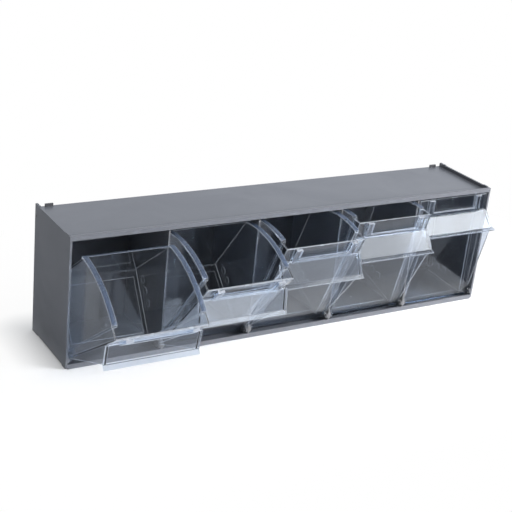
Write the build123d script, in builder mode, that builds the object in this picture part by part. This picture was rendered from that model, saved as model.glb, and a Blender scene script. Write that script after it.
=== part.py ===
from build123d import *
from math import cos, hypot, radians, sin, tan
import os

# Tilt-out bin organizer: a moulded housing with a snapped-in back panel, four dividers
# and five clear bins that tilt forward about stub pins at their lower front corners.
# Millimetres. X runs along the width, the bins open towards -Y, Z is up.
# The origin is the middle of the housing's underside.

# Housing
housing_width = 600.0
housing_depth = 107.0
rim_top = 163.2
rim_rise = 4.2
side_wall = 2.5
top_wall = 2.0
floor_wall = 2.5
lip_wall = 2.4
upper_lip_height = 5.2
upper_lip_flat = 3.0
upper_lip_ramp = 11.0
lower_lip_top = 6.0
foot_round = 3.0
foot_recess_height = 1.5
foot_recess_start = 12.0
foot_recess_back = 16.0
nub_height = 0.8
front_nub = (5.5, 13.5)
back_nubs = ((1.0, 5.5), (7.5, 12.0))
rib_height = 1.5
rib_wall = 1.2

# Back panel and dividers
back_wall = 2.0
back_inset = 0.5
fit_gap = 0.1
panel_gap = 0.2
edge_rail_wall = 1.5
edge_rail_depth = 3.5
peg_diameter = 2.8
peg_hole_gap = 0.3
peg_below_top = 14.0
tab_width = 10.0
tab_edge = 11.0
tab_above_top = 3.4
screw_hole = 5.0
screw_below_top = 33.2
bin_count = 5
divider_wall = 2.0
boss_radius = 5.5

# Bin, measured closed and from its pivot axis
pivot_behind_front = 5.6
pivot_height = 11.2
pin_diameter = 5.0
pin_fit = 0.05
pin_end_gap = 0.3
bin_side_gap = 2.9
boss_gap = 0.6
bin_wall = 2.0
side_inset = 4.6
shoulder_back = 9.9
front_lean = 2.35
front_offset = 0.3
front_foot = 5.4
rim_gap = 1.8
front_arc_drop = 2.0
mid_arc_drop = 1.8
mid_arc_angle = 20.0
back_arc_drop = 5.5
arc_flange_wall = 1.8
bin_back_gap = 3.5
back_draft = 1.2
floor_front = (15.9, -6.9)
floor_rise = 4.9
corner_round = 4.0
lug_radius = 5.0
fin_angle = 13.4
flap_below_rim = 22.0
flap_shelf = 2.2
flap_reach = 19.8
flap_drop = 19.2
flap_overhang = 1.9
pull_lip_reach = 5.7
pull_lip_drop = 1.1
pull_lip_wall = 1.6
pocket_half_width = 43.6
pocket_side_bar = 8.6
pocket_height = 21.8
pocket_bottom_bar = 5.0
pocket_stand = 4.2
pocket_round = 2.0
card_slot = 0.9
card_lap = 5.0
panel_recess = 0.6
panel_border = 6.0
panel_back = 12.0
mark_radius = 4.5
mark_depth = 0.4
mark_height = 11.0
mark_rows = (19.0, 33.0, 48.0)
gate_radius = 1.2
gate_back = 31.0
tilts = (53.8, 39.0, 23.8, 12.9, 0.0)

# Derived places
half_width = housing_width / 2
half_depth = housing_depth / 2
front = -half_depth
inside_half = half_width - side_wall
compartment = (2 * inside_half - (bin_count - 1) * divider_wall) / bin_count
pitch = compartment + divider_wall
bin_centres = [(i - (bin_count - 1) / 2) * pitch for i in range(bin_count)]
divider_centres = [(i - (bin_count - 2) / 2) * pitch for i in range(bin_count - 1)]
top_face = rim_top - rim_rise
ceiling = top_face - top_wall
upper_lip_bottom = rim_top - upper_lip_height
screw_height = rim_top - screw_below_top
ramp_end = front + upper_lip_flat + upper_lip_ramp
pivot_y = front + pivot_behind_front
panel_front = half_depth - back_inset - back_wall
peg_y = panel_front - edge_rail_depth / 2 + back_wall / 2
boss_height = bin_side_gap - boss_gap
bin_half = compartment / 2 - bin_side_gap
rear_half = bin_half - side_inset
pin_length = bin_side_gap - pin_end_gap
pin_hole_radius = pin_diameter / 2 + pin_fit
tab_centre = half_width - tab_edge - tab_width / 2
nubs = [(front + front_nub[0], front_nub[1] - front_nub[0])]
nubs += [(half_depth - end, end - start) for start, end in back_nubs]
rim_height = upper_lip_bottom - rim_gap - pivot_height
flap_height = rim_height - flap_below_rim
flap_half = bin_half + flap_overhang
bin_depth = panel_front - bin_back_gap - pivot_y
above_bin = rim_height + 10
lean_slope = tan(radians(front_lean))
floor_slope = floor_rise / (bin_depth - back_draft - floor_front[0])


def front_face(z):
    """Y of the bin's front face at a height above the pivot."""
    return -front_offset - z * lean_slope


def underside(y):
    """Height of the bin's underside at a distance behind the pivot."""
    foot_y = front_face(-front_foot)
    if y < floor_front[0]:
        fall = (floor_front[1] + front_foot) / (floor_front[0] - foot_y)
        return -front_foot + (y - foot_y) * fall
    return floor_front[1] + (y - floor_front[0]) * floor_slope


def on_circle(radius, angle):
    """Point at an angle behind the upright through the pivot."""
    return (radius * sin(radians(angle)), radius * cos(radians(angle)))


def shrunk(point, amount):
    """Point moved towards the pivot."""
    scale = 1 - amount / hypot(*point)
    return (point[0] * scale, point[1] * scale)


# Housing
with BuildPart() as housing:
    with BuildSketch(Plane.YZ.offset(-inside_half)):
        with BuildLine():
            Polyline(
                (front, upper_lip_bottom),
                (front, rim_top),
                (front + upper_lip_flat, rim_top),
                (ramp_end, top_face),
                (half_depth, top_face),
                (half_depth, ceiling),
                (ramp_end, ceiling),
                (front + upper_lip_flat, rim_top - top_wall),
                (front + lip_wall, rim_top - top_wall),
                (front + lip_wall, upper_lip_bottom),
                close=True,
            )
        make_face()
        with BuildLine():
            Polyline(
                (front, 0),
                (half_depth, 0),
                (half_depth, floor_wall),
                (front + lip_wall, floor_wall),
                (front + lip_wall, lower_lip_top),
                (front, lower_lip_top),
                close=True,
            )
        make_face()
    extrude(amount=2 * inside_half)
    # Side panels with stacking nubs on the rims and a recess between the feet
    for wall_start in (-half_width, inside_half):
        with BuildSketch(Plane.YZ.offset(wall_start)) as side_outline:
            with Locations((0, rim_top / 2)):
                Rectangle(housing_depth, rim_top)
            fillet(side_outline.vertices().sort_by_distance((front, 0, 0))[0], foot_round)
            for start, length in nubs:
                with Locations((start, rim_top)):
                    Rectangle(length, nub_height, align=Align.MIN)
        extrude(amount=side_wall)
    for side in (-1, 1):
        wall_middle = side * (half_width - side_wall / 2)
        with Locations((wall_middle, (foot_recess_start - foot_recess_back) / 2, 0)):
            Box(
                side_wall,
                housing_depth - foot_recess_start - foot_recess_back,
                2 * foot_recess_height,
                mode=Mode.SUBTRACT,
            )
    # Guide ribs that hold the dividers upright
    for x in divider_centres:
        for side in (-1, 1):
            rib_x = x + side * (divider_wall / 2 + fit_gap + rib_wall / 2)
            rib_start = ramp_end
            rib_length = panel_front - rib_start
            with Locations((rib_x, rib_start + rib_length / 2, floor_wall + rib_height / 2)):
                Box(rib_wall, rib_length, rib_height)
            with Locations((rib_x, rib_start + rib_length / 2, ceiling - rib_height / 2)):
                Box(rib_wall, rib_length, rib_height)
    # Pivot bosses for the outer bins
    for side in (-1, 1):
        with BuildSketch(Plane.YZ.offset(side * inside_half)):
            with Locations((pivot_y, pivot_height)):
                Circle(boss_radius)
                Circle(pin_hole_radius, mode=Mode.SUBTRACT)
        extrude(amount=-side * boss_height)
    # Holes for the back panel's pegs and notches for its tabs
    with Locations((0, peg_y, rim_top - peg_below_top)):
        Cylinder(
            peg_diameter / 2 + peg_hole_gap,
            housing_width,
            rotation=(0, 90, 0),
            mode=Mode.SUBTRACT,
        )
    for side in (-1, 1):
        with Locations((side * tab_centre, half_depth, top_face)):
            Box(
                tab_width + 2 * panel_gap,
                2 * (half_depth - panel_front + panel_gap),
                4 * top_wall,
                mode=Mode.SUBTRACT,
            )
housing.part.label = "housing"

# Back panel with side rails, pegs and top tabs
with BuildPart() as back_panel:
    panel_half = inside_half - panel_gap
    panel_top = ceiling - fit_gap
    with BuildSketch(Plane.XZ.offset(-panel_front)):
        with Locations((0, (floor_wall + panel_top) / 2)):
            Rectangle(2 * panel_half, panel_top - floor_wall)
        for side in (-1, 1):
            with Locations((side * tab_centre, panel_top)):
                Rectangle(
                    tab_width,
                    top_face + tab_above_top - panel_top,
                    align=(Align.CENTER, Align.MIN),
                )
        with Locations((bin_centres[0], screw_height), (bin_centres[-1], screw_height)):
            Circle(screw_hole / 2, mode=Mode.SUBTRACT)
    extrude(amount=-back_wall)
    for side in (-1, 1):
        rail_x = side * (panel_half - edge_rail_wall / 2)
        with Locations((rail_x, panel_front - edge_rail_depth / 2, (floor_wall + panel_top) / 2)):
            Box(edge_rail_wall, edge_rail_depth, panel_top - floor_wall)
        with BuildSketch(Plane.YZ.offset(side * panel_half)):
            with Locations((peg_y, rim_top - peg_below_top)):
                Circle(peg_diameter / 2)
        extrude(amount=side * (side_wall + panel_gap - fit_gap))
back_panel.part.label = "back_panel"

# One divider, with a pivot boss on each face
with BuildPart() as divider:
    with BuildSketch(Plane.YZ.offset(-divider_wall / 2)):
        with BuildLine():
            Polyline(
                (front, lower_lip_top + fit_gap),
                (front + lip_wall + fit_gap, lower_lip_top + fit_gap),
                (front + lip_wall + fit_gap, floor_wall),
                (panel_front - fit_gap, floor_wall),
                (panel_front - fit_gap, ceiling - fit_gap),
                (ramp_end, ceiling - fit_gap),
                (front + lip_wall + fit_gap, ceiling - fit_gap),
                (front, ceiling - fit_gap),
                close=True,
            )
        make_face()
    extrude(amount=divider_wall)
    for side in (-1, 1):
        with BuildSketch(Plane.YZ.offset(side * divider_wall / 2)):
            with Locations((pivot_y, pivot_height)):
                Circle(boss_radius)
                Circle(pin_hole_radius, mode=Mode.SUBTRACT)
        extrude(amount=side * boss_height)

# One bin, closed, with its pivot axis on X
foot = (front_face(-front_foot), -front_foot)
rim = (front_face(rim_height), rim_height)
arc_start = (shoulder_back, rim_height)
arc_middle = on_circle(rim_height - mid_arc_drop, mid_arc_angle)
back_top = (bin_depth, ((rim_height - back_arc_drop) ** 2 - bin_depth**2) ** 0.5)
back_bottom = (bin_depth - back_draft, underside(bin_depth - back_draft))
inner_shoulder = shoulder_back - bin_wall
back_slope = back_draft / (back_top[1] - back_bottom[1])
lean_sin = sin(radians(front_lean))
lean_cos = cos(radians(front_lean))
front_plane = Plane(origin=(0, *rim), x_dir=(1, 0, 0), z_dir=(0, -lean_cos, -lean_sin))

with BuildPart() as bin_body:
    # Wide front part
    with BuildSketch(Plane.YZ):
        with BuildLine():
            Polyline(
                foot,
                rim,
                (shoulder_back, rim_height - front_arc_drop),
                (shoulder_back, underside(shoulder_back)),
                close=True,
            )
        make_face()
    extrude(amount=bin_half, both=True)
    # Narrower rear part under the arc
    with BuildSketch(Plane.YZ) as rear_outline:
        with BuildLine():
            Polyline(
                arc_start,
                (shoulder_back, underside(shoulder_back)),
                floor_front,
                back_bottom,
                back_top,
            )
            ThreePointArc(back_top, arc_middle, arc_start)
        make_face()
        fillet(rear_outline.vertices().sort_by_distance((*back_bottom, 0))[0], corner_round)
    extrude(amount=rear_half, both=True)
    # Flange along the arc
    with BuildSketch(Plane.YZ):
        with BuildLine():
            ThreePointArc(back_top, arc_middle, arc_start)
            Line(arc_start, shrunk(arc_start, arc_flange_wall))
            ThreePointArc(
                shrunk(arc_start, arc_flange_wall),
                shrunk(arc_middle, arc_flange_wall),
                shrunk(back_top, arc_flange_wall),
            )
            Line(shrunk(back_top, arc_flange_wall), back_top)
        make_face()
    extrude(amount=bin_half, both=True)
    # Hollow
    with BuildSketch(Plane.YZ):
        with BuildLine():
            Polyline(
                (foot[0] + bin_wall, -front_foot + bin_wall),
                (front_face(above_bin) + bin_wall, above_bin),
                (inner_shoulder, above_bin),
                (inner_shoulder, underside(inner_shoulder) + bin_wall),
                close=True,
            )
        make_face()
    extrude(amount=bin_half - bin_wall, both=True, mode=Mode.SUBTRACT)
    with BuildSketch(Plane.YZ) as rear_hollow:
        hollow_back = back_bottom[0] - bin_wall
        hollow_corner = (hollow_back, underside(hollow_back) + bin_wall)
        with BuildLine():
            Polyline(
                (inner_shoulder - bin_wall, above_bin),
                (inner_shoulder - bin_wall, underside(inner_shoulder - bin_wall) + bin_wall),
                (floor_front[0], floor_front[1] + bin_wall),
                hollow_corner,
                (hollow_back + (above_bin - hollow_corner[1]) * back_slope, above_bin),
                close=True,
            )
        make_face()
        inner_corner = rear_hollow.vertices().sort_by_distance((*hollow_corner, 0))[0]
        fillet(inner_corner, corner_round - bin_wall)
    extrude(amount=rear_half - bin_wall, both=True, mode=Mode.SUBTRACT)
    # Pull flap and its lip
    flap_root = (front_face(flap_height), flap_height)
    flap_end = (flap_root[0] - flap_reach, flap_height - flap_drop)
    flap_start = (flap_root[0] - flap_shelf, flap_height)
    flap_slant = flap_reach - flap_shelf
    flap_length = hypot(flap_slant, flap_drop)
    flap_under = (
        flap_end[0] + bin_wall * flap_drop / flap_length,
        flap_end[1] - bin_wall * flap_slant / flap_length,
    )
    flap_foot_z = flap_height - bin_wall
    flap_crook = (front_face(flap_foot_z) - flap_shelf / 2, flap_foot_z)
    with BuildSketch(Plane.YZ):
        with BuildLine():
            Polyline(
                flap_start,
                flap_crook,
                (front_face(flap_foot_z) + bin_wall / 2, flap_foot_z),
                (flap_root[0] + bin_wall / 2, flap_height),
                close=True,
            )
        make_face()
    extrude(amount=bin_half, both=True)
    with BuildSketch(Plane.YZ):
        with BuildLine():
            Polyline(flap_start, flap_end, flap_under, flap_crook, close=True)
        make_face()
        with BuildLine():
            Polyline(
                flap_end,
                (flap_end[0] - pull_lip_reach, flap_end[1] - pull_lip_drop),
                (flap_end[0] - pull_lip_reach, flap_end[1] - pull_lip_drop - pull_lip_wall),
                (flap_under[0], flap_end[1] - pull_lip_wall),
                flap_under,
                close=True,
            )
        make_face()
    extrude(amount=flap_half, both=True)
    # Side fins under the flap, pivot lugs and pins
    fin_slope = tan(radians(fin_angle))
    for side in (-1, 1):
        with BuildSketch(Plane.YZ.offset(side * (bin_half - bin_wall))):
            with BuildLine():
                Polyline(
                    (bin_wall, 0),
                    (0, 0),
                    (-flap_end[1] * fin_slope, flap_end[1]),
                    flap_start,
                    flap_root,
                    (flap_root[0] + bin_wall, flap_height),
                    close=True,
                )
            make_face()
            Circle(lug_radius)
        extrude(amount=side * bin_wall)
        with BuildSketch(Plane.YZ.offset(side * bin_half)):
            Circle(pin_diameter / 2)
        extrude(amount=side * pin_length)
    # Label pocket, open at the top
    with BuildSketch(front_plane) as pocket:
        with Locations((0, -pocket_height / 2)):
            Rectangle(2 * pocket_half_width, pocket_height)
        fillet(pocket.vertices().group_by(Axis.Y)[0], pocket_round)
        with Locations((0, (pocket_bottom_bar - pocket_height) / 2)):
            Rectangle(
                2 * (pocket_half_width - pocket_side_bar),
                pocket_height - pocket_bottom_bar,
                mode=Mode.SUBTRACT,
            )
    extrude(amount=pocket_stand)
    with BuildSketch(front_plane):
        slot_depth = pocket_height - pocket_bottom_bar / 2
        with Locations((0, -slot_depth / 2)):
            Rectangle(
                2 * (pocket_half_width - pocket_side_bar + card_lap),
                slot_depth,
            )
    extrude(amount=card_slot, mode=Mode.SUBTRACT)
    # Raised border around the underside, with the moulding gate inside it
    with BuildSketch(Plane.YZ):
        recess_start = floor_front[0]
        recess_end = bin_depth - panel_back
        with BuildLine():
            Polyline(
                (recess_start, underside(recess_start) + panel_recess),
                (recess_end, underside(recess_end) + panel_recess),
                (recess_end, underside(recess_end) - panel_recess),
                (recess_start, underside(recess_start) - panel_recess),
                close=True,
            )
        make_face()
    extrude(amount=rear_half - panel_border, both=True, mode=Mode.SUBTRACT)
    with Locations((0, gate_back, underside(gate_back) + panel_recess)):
        Cylinder(gate_radius, 2 * panel_recess)
    # Round marks in the right-hand side wall
    with BuildSketch(Plane.YZ.offset(rear_half)):
        with Locations(*[(bin_depth - row, mark_height) for row in mark_rows]):
            Circle(mark_radius)
    extrude(amount=-mark_depth, mode=Mode.SUBTRACT)

# Placed pieces
dividers = []
for number, x in enumerate(divider_centres, 1):
    with BuildPart() as placed_divider:
        with Locations((x, 0, 0)):
            add(divider.part)
    placed_divider.part.label = f"divider_{number}"
    dividers.append(placed_divider.part)

bins = []
for number, (x, tilt) in enumerate(zip(bin_centres, tilts), 1):
    with BuildPart() as placed_bin:
        with Locations(Location((x, pivot_y, pivot_height), (tilt, 0, 0))):
            add(bin_body.part)
    placed_bin.part.label = f"bin_{number}"
    bins.append(placed_bin.part)

os.makedirs("parts", exist_ok=True)
for piece in (housing.part, back_panel.part, *dividers, *bins):
    export_step(piece, f"parts/{piece.label}.step")
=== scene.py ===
import math

import bpy
import numpy as np
from mathutils import Matrix, Vector

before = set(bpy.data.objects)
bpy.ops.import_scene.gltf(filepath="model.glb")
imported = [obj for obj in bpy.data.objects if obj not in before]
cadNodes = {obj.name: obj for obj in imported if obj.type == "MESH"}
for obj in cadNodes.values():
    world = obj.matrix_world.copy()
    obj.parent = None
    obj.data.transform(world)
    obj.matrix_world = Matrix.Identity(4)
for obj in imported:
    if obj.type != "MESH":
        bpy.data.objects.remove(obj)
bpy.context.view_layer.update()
scene = bpy.context.scene
print("frame loaded:", len(cadNodes), "CAD nodes")

binNames = sorted(name for name in cadNodes if name.startswith("bin_"))
dividerNames = sorted(name for name in cadNodes if name.startswith("divider_"))


def addNode(tree, kind, place, **values):  # one shader node with its settings and socket values
    node = tree.nodes.new(kind)
    node.location = place
    for key, value in values.items():
        if hasattr(node, key):
            setattr(node, key, value)
        else:
            node.inputs[key].default_value = value
    return node


def newGroup(name, inputs, outputs):  # empty node group with named sockets, and its two ends
    group = bpy.data.node_groups.new(name, "ShaderNodeTree")
    for label, kind, value in inputs:
        group.interface.new_socket(name=label, in_out="INPUT", socket_type=kind).default_value = value
    for label, kind in outputs:
        group.interface.new_socket(name=label, in_out="OUTPUT", socket_type=kind)
    start = addNode(group, "NodeGroupInput", (-900, 0))
    end = addNode(group, "NodeGroupOutput", (900, 0))
    return group, start, end


def noise(tree, coords, place, **values):  # noise read from the piece's own Object coordinates
    node = addNode(tree, "ShaderNodeTexNoise", place, **values)
    tree.links.new(coords, node.inputs["Vector"])
    return node.outputs["Fac"]


def remap(tree, value, place, fromLow, fromHigh, toLow, toHigh):
    node = addNode(tree, "ShaderNodeMapRange", place)
    tree.links.new(value, node.inputs["Value"])
    node.inputs["From Min"].default_value = fromLow
    node.inputs["From Max"].default_value = fromHigh
    node.inputs["To Min"].default_value = toLow
    node.inputs["To Max"].default_value = toHigh
    return node.outputs["Result"]


def arithmetic(tree, operation, place, *terms):  # a Math node whose terms are sockets or numbers
    node = addNode(tree, "ShaderNodeMath", place, operation=operation)
    for slot, term in enumerate(terms):
        if isinstance(term, bpy.types.NodeSocket):
            tree.links.new(term, node.inputs[slot])
        else:
            node.inputs[slot].default_value = term
    return node.outputs["Value"]


def bump(tree, height, place, below=None):  # heights are in metres, so strength and distance are 1
    node = addNode(tree, "ShaderNodeBump", place, Strength=1.0, Distance=1.0)
    tree.links.new(height, node.inputs["Height"])
    if below is not None:
        tree.links.new(below, node.inputs["Normal"])
    return node.outputs["Normal"]


# Texture of the grey plastic: settings of each noise, and the range that it is mapped from and to
mouldedTexture = {
    "drift": {"Scale": 3.0, "Detail": 3.0, "Roughness": 0.5},
    "driftShade": (0.3, 0.7, 0.94, 1.06),
    "speck": {"Scale": 420.0, "Detail": 2.0, "Roughness": 0.6},
    "speckShade": (0.3, 0.7, 0.985, 1.015),
    "smear": {"Scale": 9.0, "Detail": 4.0, "Roughness": 0.55, "Distortion": 0.8},
    "smearShade": (0.35, 0.7, -0.05, 0.09),
    "grain": {"Scale": 1500.0, "Detail": 2.0, "Roughness": 0.6},
    "warp": {"Scale": 5.0, "Detail": 0.0, "Roughness": 0.5},
}


def makeMouldedGroup():  # grey plastic: slow colour drift, handled patches in the gloss, spark-eroded grain
    group, start, end = newGroup(
        "MouldedPlastic",
        [
            ("Color", "NodeSocketColor", (0.1, 0.1, 0.1, 1.0)),
            ("Roughness", "NodeSocketFloat", 0.35),
            ("Grain Height", "NodeSocketFloat", 0.00001),
            ("Warp Height", "NodeSocketFloat", 0.0001),
            ("Handling", "NodeSocketFloat", 0.5),
        ],
        [("Color", "NodeSocketColor"), ("Roughness", "NodeSocketFloat"), ("Normal", "NodeSocketVector")],
    )
    coords = addNode(group, "ShaderNodeTexCoord", (-900, -400)).outputs["Object"]
    drift = noise(group, coords, (-650, 250), **mouldedTexture["drift"])
    speck = noise(group, coords, (-650, 450), **mouldedTexture["speck"])
    driftShade = remap(group, drift, (-430, 250), *mouldedTexture["driftShade"])
    speckShade = remap(group, speck, (-430, 450), *mouldedTexture["speckShade"])
    tint = addNode(group, "ShaderNodeVectorMath", (0, 250), operation="SCALE")
    group.links.new(start.outputs["Color"], tint.inputs[0])
    group.links.new(arithmetic(group, "MULTIPLY", (-200, 350), driftShade, speckShade), tint.inputs["Scale"])
    group.links.new(tint.outputs["Vector"], end.inputs["Color"])
    smear = noise(group, coords, (-650, 0), **mouldedTexture["smear"])
    smearShade = remap(group, smear, (-430, 0), *mouldedTexture["smearShade"])
    roughness = arithmetic(
        group, "MULTIPLY_ADD", (-200, 0), smearShade, start.outputs["Handling"], start.outputs["Roughness"]
    )
    group.links.new(roughness, end.inputs["Roughness"])
    grain = noise(group, coords, (-650, -300), **mouldedTexture["grain"])
    grainHeight = arithmetic(group, "MULTIPLY", (-430, -300), grain, start.outputs["Grain Height"])
    warp = noise(group, coords, (-650, -550), **mouldedTexture["warp"])
    warpHeight = arithmetic(group, "MULTIPLY", (-430, -550), warp, start.outputs["Warp Height"])
    normal = bump(group, warpHeight, (50, -450), bump(group, grainHeight, (-200, -300)))
    group.links.new(normal, end.inputs["Normal"])
    return group


mouldedGroup = makeMouldedGroup()


def mouldedPlastic(name, look):
    material = bpy.data.materials.new(name)
    material.use_nodes = True
    tree = material.node_tree
    shader = tree.nodes["Principled BSDF"]
    surface = addNode(tree, "ShaderNodeGroup", (-350, 100), node_tree=mouldedGroup)
    surface.inputs["Color"].default_value = (*look["color"], 1.0)
    surface.inputs["Roughness"].default_value = look["roughness"]
    surface.inputs["Grain Height"].default_value = look["grainHeight"]
    surface.inputs["Warp Height"].default_value = look["warpHeight"]
    surface.inputs["Handling"].default_value = look["handling"]
    tree.links.new(surface.outputs["Color"], shader.inputs["Base Color"])
    tree.links.new(surface.outputs["Roughness"], shader.inputs["Roughness"])
    tree.links.new(surface.outputs["Normal"], shader.inputs["Normal"])
    shader.inputs["IOR"].default_value = look["ior"]
    return material


edgeFinish = {"mergeWithin": 0.00001, "sharpAngle": 40.0, "segments": 2}


def softenEdges(item, look):  # merge the loose triangles, then round every sharp edge a little
    weld = item.modifiers.new("Weld", "WELD")
    weld.merge_threshold = edgeFinish["mergeWithin"]
    bevel = item.modifiers.new("Edges", "BEVEL")
    bevel.width = look["edgeRound"]
    bevel.segments = edgeFinish["segments"]
    bevel.limit_method = "ANGLE"
    bevel.angle_limit = math.radians(edgeFinish["sharpAngle"])
    bevel.use_clamp_overlap = look["edgeClamp"]
    bevel.material = look["edgeSlot"]


def paint(item, *materials):
    item.data.materials.clear()
    for material in materials:
        item.data.materials.append(material)


# Housing, dividers and back panel: satin grey
housingLook = {
    "color": (0.112, 0.118, 0.134),
    "roughness": 0.33,
    "grainHeight": 0.000010,
    "warpHeight": 0.00018,
    "handling": 1.0,
    "ior": 1.53,
    "edgeRound": 0.0004,
    "edgeClamp": True,
    "edgeSlot": -1,
}
dividerLook = dict(housingLook, color=(0.125, 0.126, 0.133), roughness=0.4)
panelLook = dict(housingLook, color=(0.06, 0.061, 0.067), roughness=0.45)
housingPlastic = mouldedPlastic("HousingGrey", housingLook)
dividerPlastic = mouldedPlastic("DividerGrey", dividerLook)
panelPlastic = mouldedPlastic("PanelGrey", panelLook)
paint(cadNodes["housing"], housingPlastic)
paint(cadNodes["back_panel"], panelPlastic)
for name in dividerNames:
    paint(cadNodes[name], dividerPlastic)
for name in ["housing", "back_panel", *dividerNames]:
    softenEdges(cadNodes[name], housingLook)
print("grey plastic ready")


# Texture of the clear plastic, in the same form
clearTexture = {
    "dust": {"Scale": 35.0, "Detail": 6.0, "Roughness": 0.65},
    "dustShade": (0.45, 0.8, 1.0, 0.93),
    "scuff": {"Scale": 55.0, "Detail": 5.0, "Roughness": 0.6, "Distortion": 0.4},
    "scuffShade": (0.5, 0.8, 0.0, 1.0),
    "ripple": {"Scale": 14.0, "Detail": 1.0, "Roughness": 0.4},
}


def makeClearGroup():  # clear moulding: gentle ripple, scuffs that dull the polish, dust in the tint
    group, start, end = newGroup(
        "ClearSurface",
        [
            ("Color", "NodeSocketColor", (1.0, 1.0, 1.0, 1.0)),
            ("Roughness", "NodeSocketFloat", 0.03),
            ("Scuff", "NodeSocketFloat", 0.08),
            ("Ripple Height", "NodeSocketFloat", 0.00005),
        ],
        [("Color", "NodeSocketColor"), ("Roughness", "NodeSocketFloat"), ("Normal", "NodeSocketVector")],
    )
    coords = addNode(group, "ShaderNodeTexCoord", (-900, -400)).outputs["Object"]
    dust = noise(group, coords, (-650, 300), **clearTexture["dust"])
    dustShade = remap(group, dust, (-430, 300), *clearTexture["dustShade"])
    tint = addNode(group, "ShaderNodeVectorMath", (-200, 300), operation="SCALE")
    group.links.new(start.outputs["Color"], tint.inputs[0])
    group.links.new(dustShade, tint.inputs["Scale"])
    group.links.new(tint.outputs["Vector"], end.inputs["Color"])
    scuff = noise(group, coords, (-650, 0), **clearTexture["scuff"])
    scuffShade = remap(group, scuff, (-430, 0), *clearTexture["scuffShade"])
    roughness = arithmetic(
        group, "MULTIPLY_ADD", (-200, 0), scuffShade, start.outputs["Scuff"], start.outputs["Roughness"]
    )
    group.links.new(roughness, end.inputs["Roughness"])
    ripple = noise(group, coords, (-650, -300), **clearTexture["ripple"])
    rippleHeight = arithmetic(group, "MULTIPLY", (-430, -300), ripple, start.outputs["Ripple Height"])
    group.links.new(bump(group, rippleHeight, (-200, -300)), end.inputs["Normal"])
    return group


clearGroup = makeClearGroup()

# A bin's pivot, the tilts in the frame, and where rim, arc flanges and lip begin on a closed bin, from the pivot
binPlace = {
    "pivot": (0.0, -0.0479, 0.0112),
    "tilts": (53.8, 39.0, 23.8, 12.9, 0.0),
    "rimHeight": 0.1448,
    "rimFacing": 0.9,
    "arcStart": 0.0097,
    "arcInside": 0.1374,
    "arcFacing": 0.8,
    "lipStart": -0.0262,
}
binSlots = {"rim": 2, "arc": 3, "lip": 4}

# Clear bins: faintly blue crystal plastic; its rounded edges and front rim carry a painted glow (emission) in
# place of the light that the clear walls gather
clearLook = {
    "tint": (0.965, 0.98, 1.0),
    "absorb": (0.6, 0.7, 0.82),
    "absorbDensity": 100.0,
    "roughness": 0.015,
    "scuff": 0.05,
    "ripple": 0.00003,
    "ior": 1.15,
    "transmission": 1.0,
    "coat": 1.0,
    "coatIor": 1.57,
    "coatRoughness": 0.09,
    "shadowTint": (0.8, 0.82, 0.84),
    "edgeRound": 0.0003,
    "edgeClamp": False,
    "edgeSlot": 1,
}
# Edge faces: partly matt grey-blue plastic with a painted glow (emission) that stands in for light gathered in the
# clear walls; the rim gets a weaker painted glow, the flanges a dark blue with none
edgeLook = {
    "tint": (0.3, 0.33, 0.385),
    "roughness": 0.25,
    "scuff": 0.1,
    "ripple": 0.00003,
    "ior": 1.3,
    "transmission": 0.4,
    "paintedGlow": (0.86, 0.92, 1.0),
    "paintedGlowStrength": 0.22,
    "pivotShade": 0.15,
    "pivotReach": (0.006, 0.012),
    "shadowTint": (0.85, 0.88, 0.92),
}
rimLook = dict(edgeLook, tint=(0.3, 0.32, 0.36), transmission=0.5, paintedGlowStrength=0.12)
flangeLook = dict(edgeLook, tint=(0.09, 0.125, 0.2), transmission=0.6, paintedGlowStrength=0.0)
lipLook = dict(clearLook, tint=(0.8, 0.83, 0.87), roughness=0.1)


def shadeAtPivot(tree, look, place):  # painted shade, below 1 round the pivot axis, that keeps the crowded edges there dark
    coords = addNode(tree, "ShaderNodeTexCoord", place).outputs["Object"]
    offset = addNode(tree, "ShaderNodeVectorMath", (place[0] + 200, place[1]), operation="SUBTRACT")
    tree.links.new(coords, offset.inputs[0])
    offset.inputs[1].default_value = binPlace["pivot"]
    across = addNode(tree, "ShaderNodeVectorMath", (place[0] + 400, place[1]), operation="MULTIPLY")
    tree.links.new(offset.outputs["Vector"], across.inputs[0])
    across.inputs[1].default_value = (0.0, 1.0, 1.0)
    reach = addNode(tree, "ShaderNodeVectorMath", (place[0] + 600, place[1]), operation="LENGTH")
    tree.links.new(across.outputs["Vector"], reach.inputs[0])
    near, far = look["pivotReach"]
    return remap(tree, reach.outputs["Value"], (place[0] + 800, place[1]), near, far, look["pivotShade"], 1.0)


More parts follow.
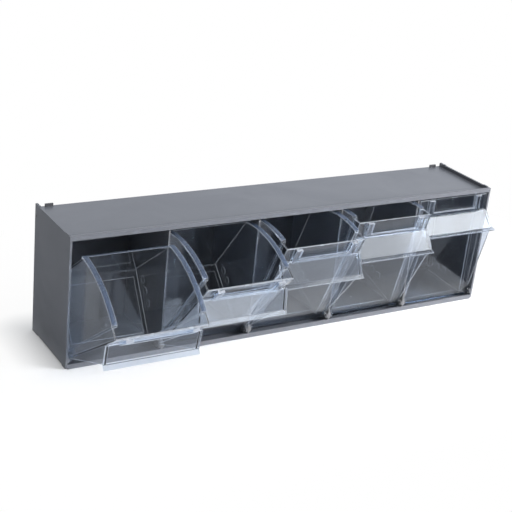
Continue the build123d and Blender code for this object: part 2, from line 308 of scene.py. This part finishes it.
def clearPlastic(name, look):
    material = bpy.data.materials.new(name)
    material.use_nodes = True
    tree = material.node_tree
    shader = tree.nodes["Principled BSDF"]
    output = tree.nodes["Material Output"]
    surface = addNode(tree, "ShaderNodeGroup", (-350, 100), node_tree=clearGroup)
    surface.inputs["Color"].default_value = (*look["tint"], 1.0)
    surface.inputs["Roughness"].default_value = look["roughness"]
    surface.inputs["Scuff"].default_value = look["scuff"]
    surface.inputs["Ripple Height"].default_value = look["ripple"]
    color = surface.outputs["Color"]
    # painted glow: the edge and rim faces emit light; colour and glow of all three edge materials are dimmed by
    # the painted shade round the pivot
    if "paintedGlow" in look:
        shade = shadeAtPivot(tree, look, (-1300, 500))
        darker = addNode(tree, "ShaderNodeVectorMath", (-150, 400), operation="SCALE")
        tree.links.new(color, darker.inputs[0])
        tree.links.new(shade, darker.inputs["Scale"])
        color = darker.outputs["Vector"]
        shader.inputs["Emission Color"].default_value = (*look["paintedGlow"], 1.0)
        strength = arithmetic(tree, "MULTIPLY", (-150, 600), shade, look["paintedGlowStrength"])
        tree.links.new(strength, shader.inputs["Emission Strength"])
    tree.links.new(color, shader.inputs["Base Color"])
    tree.links.new(surface.outputs["Roughness"], shader.inputs["Roughness"])
    tree.links.new(surface.outputs["Normal"], shader.inputs["Normal"])
    shader.inputs["Transmission Weight"].default_value = look["transmission"]
    shader.inputs["IOR"].default_value = look["ior"]
    if "coat" in look:
        shader.inputs["Coat Weight"].default_value = look["coat"]
        shader.inputs["Coat IOR"].default_value = look["coatIor"]
        shader.inputs["Coat Roughness"].default_value = look["coatRoughness"]
    shadowPass = addNode(tree, "ShaderNodeBsdfTransparent", (50, -300))
    shadowPass.inputs["Color"].default_value = (*look["shadowTint"], 1.0)
    path = addNode(tree, "ShaderNodeLightPath", (50, 400))
    mix = addNode(tree, "ShaderNodeMixShader", (350, 100))
    tree.links.new(path.outputs["Is Shadow Ray"], mix.inputs["Fac"])
    tree.links.new(shader.outputs["BSDF"], mix.inputs[1])
    tree.links.new(shadowPass.outputs["BSDF"], mix.inputs[2])
    tree.links.new(mix.outputs["Shader"], output.inputs["Surface"])
    if "absorb" in look:
        absorb = addNode(tree, "ShaderNodeVolumeAbsorption", (50, -500), Density=look["absorbDensity"])
        absorb.inputs["Color"].default_value = (*look["absorb"], 1.0)
        tree.links.new(absorb.outputs["Volume"], output.inputs["Volume"])
    return material


def assignSlots(item, tilt):  # material slots of the faces on the front rim, the arc flanges and the pull lip
    count = len(item.data.polygons)
    centre = np.empty(count * 3, np.float32)
    facing = np.empty(count * 3, np.float32)
    item.data.polygons.foreach_get("center", centre)
    item.data.polygons.foreach_get("normal", facing)
    centre = centre.reshape(-1, 3) - binPlace["pivot"]
    facing = facing.reshape(-1, 3)
    cosine, sine = math.cos(math.radians(tilt)), math.sin(math.radians(tilt))
    y = centre[:, 1] * cosine + centre[:, 2] * sine  # turned back to the closed bin
    z = centre[:, 2] * cosine - centre[:, 1] * sine
    faceY = facing[:, 1] * cosine + facing[:, 2] * sine
    faceZ = facing[:, 2] * cosine - facing[:, 1] * sine
    reach = np.hypot(y, z)
    outward = (faceY * y + faceZ * z) / reach
    slots = np.zeros(count, np.int32)
    onRim = (z > binPlace["rimHeight"]) & (faceZ > binPlace["rimFacing"]) & (y < 0.0)
    onArc = (reach > binPlace["arcInside"]) & (outward > binPlace["arcFacing"])
    slots[onRim] = binSlots["rim"]
    slots[onArc & (y > binPlace["arcStart"])] = binSlots["arc"]
    slots[y < binPlace["lipStart"]] = binSlots["lip"]
    item.data.polygons.foreach_set("material_index", slots)


clearLooks = {
    "ClearPlastic": clearLook,
    "ClearPlasticEdge": edgeLook,
    "ClearPlasticRim": rimLook,
    "ClearPlasticFlange": flangeLook,
    "ClearPlasticLip": lipLook,
}
clearMaterials = [clearPlastic(name, look) for name, look in clearLooks.items()]
for name, tilt in zip(binNames, binPlace["tilts"]):
    paint(cadNodes[name], *clearMaterials)
    assignSlots(cadNodes[name], tilt)
    softenEdges(cadNodes[name], clearLook)
print("clear bins ready")

# Floor: pale next to the object, where it keeps the shadow, and plain white further out
floorLook = {
    "color": (0.95, 0.95, 0.955),
    "size": 9.0,
    "footprint": (0.3, 0.0535, 1.0),
    "whiteNear": 0.2,
    "whiteMiddle": 0.93,
    "nearReach": 0.05,
    "farReach": 0.3,
    "mirrorTint": (0.83, 0.87, 0.95),
    "roughness": 0.9,
    "specular": 0.1,
}


def seenDirectly(tree, place):  # two sockets: 1 until the ray has met a matt surface, and 1 on mirrored rays
    path = addNode(tree, "ShaderNodeLightPath", place)
    bounced = arithmetic(tree, "MINIMUM", (place[0] + 200, place[1]), path.outputs["Diffuse Depth"], 1.0)
    seen = arithmetic(tree, "SUBTRACT", (place[0] + 400, place[1]), 1.0, bounced)
    return seen, path.outputs["Is Glossy Ray"]


def whiteOrMirrored(tree, glossy, place):  # white to look at, faintly blue where it is mirrored
    tint = addNode(tree, "ShaderNodeMix", place, data_type="RGBA")
    tree.links.new(glossy, tint.inputs["Factor"])
    tint.inputs["A"].default_value = (1.0, 1.0, 1.0, 1.0)
    tint.inputs["B"].default_value = (*floorLook["mirrorTint"], 1.0)
    return tint.outputs["Result"]


bpy.ops.mesh.primitive_plane_add(size=floorLook["size"])
floor = bpy.context.object
floor.name = "Floor"
floorPaint = bpy.data.materials.new("PaleFloor")
floorPaint.use_nodes = True
floorTree = floorPaint.node_tree
floorShader = floorTree.nodes["Principled BSDF"]
floorShader.inputs["Base Color"].default_value = (*floorLook["color"], 1.0)
floorShader.inputs["Roughness"].default_value = floorLook["roughness"]
floorShader.inputs["Specular IOR Level"].default_value = floorLook["specular"]
floorCoords = addNode(floorTree, "ShaderNodeTexCoord", (-1500, 300)).outputs["Object"]
floorSide = addNode(floorTree, "ShaderNodeVectorMath", (-1300, 300), operation="ABSOLUTE")
floorTree.links.new(floorCoords, floorSide.inputs[0])
floorPast = addNode(floorTree, "ShaderNodeVectorMath", (-1100, 300), operation="SUBTRACT")
floorTree.links.new(floorSide.outputs["Vector"], floorPast.inputs[0])
floorPast.inputs[1].default_value = floorLook["footprint"]
floorOut = addNode(floorTree, "ShaderNodeVectorMath", (-900, 300), operation="MAXIMUM")
floorTree.links.new(floorPast.outputs["Vector"], floorOut.inputs[0])
floorOut.inputs[1].default_value = (0.0, 0.0, 0.0)
floorReach = addNode(floorTree, "ShaderNodeVectorMath", (-700, 300), operation="LENGTH")
floorTree.links.new(floorOut.outputs["Vector"], floorReach.inputs[0])
floorNear = remap(
    floorTree,
    floorReach.outputs["Value"],
    (-500, 300),
    0.0,
    floorLook["nearReach"],
    floorLook["whiteNear"],
    floorLook["whiteMiddle"],
)
floorFar = remap(
    floorTree,
    floorReach.outputs["Value"],
    (-500, 0),
    floorLook["nearReach"],
    floorLook["farReach"],
    0.0,
    1.0 - floorLook["whiteMiddle"],
)
floorFade = arithmetic(floorTree, "ADD", (-300, 300), floorNear, floorFar)
floorSeen, floorGlossy = seenDirectly(floorTree, (-900, 700))
floorWhite = addNode(floorTree, "ShaderNodeEmission", (-100, -100), Strength=1.0)
floorTree.links.new(whiteOrMirrored(floorTree, floorGlossy, (-300, -100)), floorWhite.inputs["Color"])
floorMix = addNode(floorTree, "ShaderNodeMixShader", (350, 100))
floorShare = arithmetic(floorTree, "MULTIPLY", (-100, 500), floorFade, floorSeen)
floorTree.links.new(floorShare, floorMix.inputs["Fac"])
floorTree.links.new(floorShader.outputs["BSDF"], floorMix.inputs[1])
floorTree.links.new(floorWhite.outputs["Emission"], floorMix.inputs[2])
floorTree.links.new(floorMix.outputs["Shader"], floorTree.nodes["Material Output"].inputs["Surface"])
paint(floor, floorPaint)

# Cards on the floor, there only for mirrored rays: the dark one in the clear fronts, the grey one in the left side
cardLooks = {
    "DarkCard": {"color": (0.01, 0.01, 0.011), "middle": (0.925, -0.5), "size": (1.2, 1.6)},
    "GreyCard": {"color": (0.4, 0.405, 0.42), "middle": (-1.105, 0.6), "size": (1.59, 2.6)},
}
cardHeight = 0.0005
for name, look in cardLooks.items():
    bpy.ops.mesh.primitive_plane_add(size=1.0)
    card = bpy.context.object
    card.name = name
    card.scale = (*look["size"], 1.0)
    card.location = (*look["middle"], cardHeight)
    for rays in ("camera", "diffuse", "volume_scatter", "shadow"):
        setattr(card, f"visible_{rays}", False)
    cardPaint = bpy.data.materials.new(name)
    cardPaint.use_nodes = True
    cardTree = cardPaint.node_tree
    cardShader = cardTree.nodes["Principled BSDF"]
    cardShader.inputs["Base Color"].default_value = (*look["color"], 1.0)
    cardShader.inputs["Roughness"].default_value = floorLook["roughness"]
    cardPath = addNode(cardTree, "ShaderNodeLightPath", (-300, 300))
    cardMix = addNode(cardTree, "ShaderNodeMixShader", (300, 100))
    mirrored = arithmetic(cardTree, "MINIMUM", (0, 300), cardPath.outputs["Glossy Depth"], 1.0)
    cardTree.links.new(mirrored, cardMix.inputs["Fac"])
    cardClear = addNode(cardTree, "ShaderNodeBsdfTransparent", (0, -200))
    cardTree.links.new(cardClear.outputs["BSDF"], cardMix.inputs[1])
    cardTree.links.new(cardShader.outputs["BSDF"], cardMix.inputs[2])
    cardTree.links.new(cardMix.outputs["Shader"], cardTree.nodes["Material Output"].inputs["Surface"])
    paint(card, cardPaint)
print("floor ready")

# Lamps: a large softbox high on the front right with a weaker glow round it, and two hidden from mirrored rays
lampLooks = {
    "Softbox": {
        "place": (1.726, -1.077, 1.63),
        "aim": (0.1, -0.05, 0.1),
        "color": (0.94, 0.97, 1.0),
        "size": (1.2, 1.5),
        "power": 20.0,
    },
    "SoftboxGlow": {
        "place": (1.80, -1.13, 1.70),
        "aim": (0.1, -0.05, 0.1),
        "color": (0.94, 0.97, 1.0),
        "size": (1.8, 2.0),
        "power": 26.0,
    },
    "FrontGlow": {
        "place": (1.75, -1.3, 0.55),
        "aim": (0.0, 0.0, 0.1),
        "color": (1.0, 0.99, 0.98),
        "size": (0.9, 0.6),
        "power": 115.0,
        "mirrored": False,
    },
    "TopGlow": {
        "place": (0.0, 0.5, 2.4),
        "aim": (0.0, 0.0, 0.1),
        "color": (0.94, 0.97, 1.0),
        "size": (2.0, 2.0),
        "power": 27.0,
        "mirrored": False,
    },
}
for name, look in lampLooks.items():
    lampData = bpy.data.lights.new(name, "AREA")
    lampData.shape = "RECTANGLE"
    lampData.size, lampData.size_y = look["size"]
    lampData.energy = look["power"]
    lampData.color = look["color"]
    lamp = bpy.data.objects.new(name, lampData)
    lamp.location = look["place"]
    lamp.visible_glossy = look.get("mirrored", True)
    lamp.rotation_euler = (Vector(look["aim"]) - lamp.location).to_track_quat("-Z", "Y").to_euler()
    scene.collection.objects.link(lamp)

# World: white where it is seen, mirrored or looked through, a dimmer pale studio as light
worldLook = {"studio": (0.96, 0.98, 1.0), "strength": 0.26}
world = bpy.data.worlds.new("Studio")
scene.world = world
world.use_nodes = True
worldTree = world.node_tree
studioLight = worldTree.nodes["Background"]
studioLight.inputs["Color"].default_value = (*worldLook["studio"], 1.0)
studioLight.inputs["Strength"].default_value = worldLook["strength"]
whiteBackdrop = addNode(worldTree, "ShaderNodeBackground", (-50, -150), Strength=1.0)
worldSeen, worldGlossy = seenDirectly(worldTree, (-750, 300))
worldTree.links.new(whiteOrMirrored(worldTree, worldGlossy, (-300, -150)), whiteBackdrop.inputs["Color"])
worldMix = addNode(worldTree, "ShaderNodeMixShader", (200, 0))
worldTree.links.new(worldSeen, worldMix.inputs["Fac"])
worldTree.links.new(studioLight.outputs["Background"], worldMix.inputs[1])
worldTree.links.new(whiteBackdrop.outputs["Background"], worldMix.inputs[2])
worldTree.links.new(worldMix.outputs["Shader"], worldTree.nodes["World Output"].inputs["Surface"])
scene.view_settings.view_transform = "Standard"
print("stage and lamps ready")

# Camera as fitted to the photograph's perspective
cameraLook = {
    "place": (-0.75722, -1.14526, 0.64925),
    "right": (0.859789, -0.501525, 0.096106),
    "up": (0.117824, 0.377961, 0.918293),
    "back": (-0.496871, -0.778215, 0.384058),
    "lens": 81.964,
    "sensor": 36.0,
}
cameraData = bpy.data.cameras.new("Camera")
cameraData.sensor_width = cameraLook["sensor"]
cameraData.lens = cameraLook["lens"]
camera = bpy.data.objects.new("Camera", cameraData)
turn = Matrix((cameraLook["right"], cameraLook["up"], cameraLook["back"])).transposed()
camera.matrix_world = Matrix.Translation(cameraLook["place"]) @ turn.to_4x4()
scene.collection.objects.link(camera)
scene.camera = camera
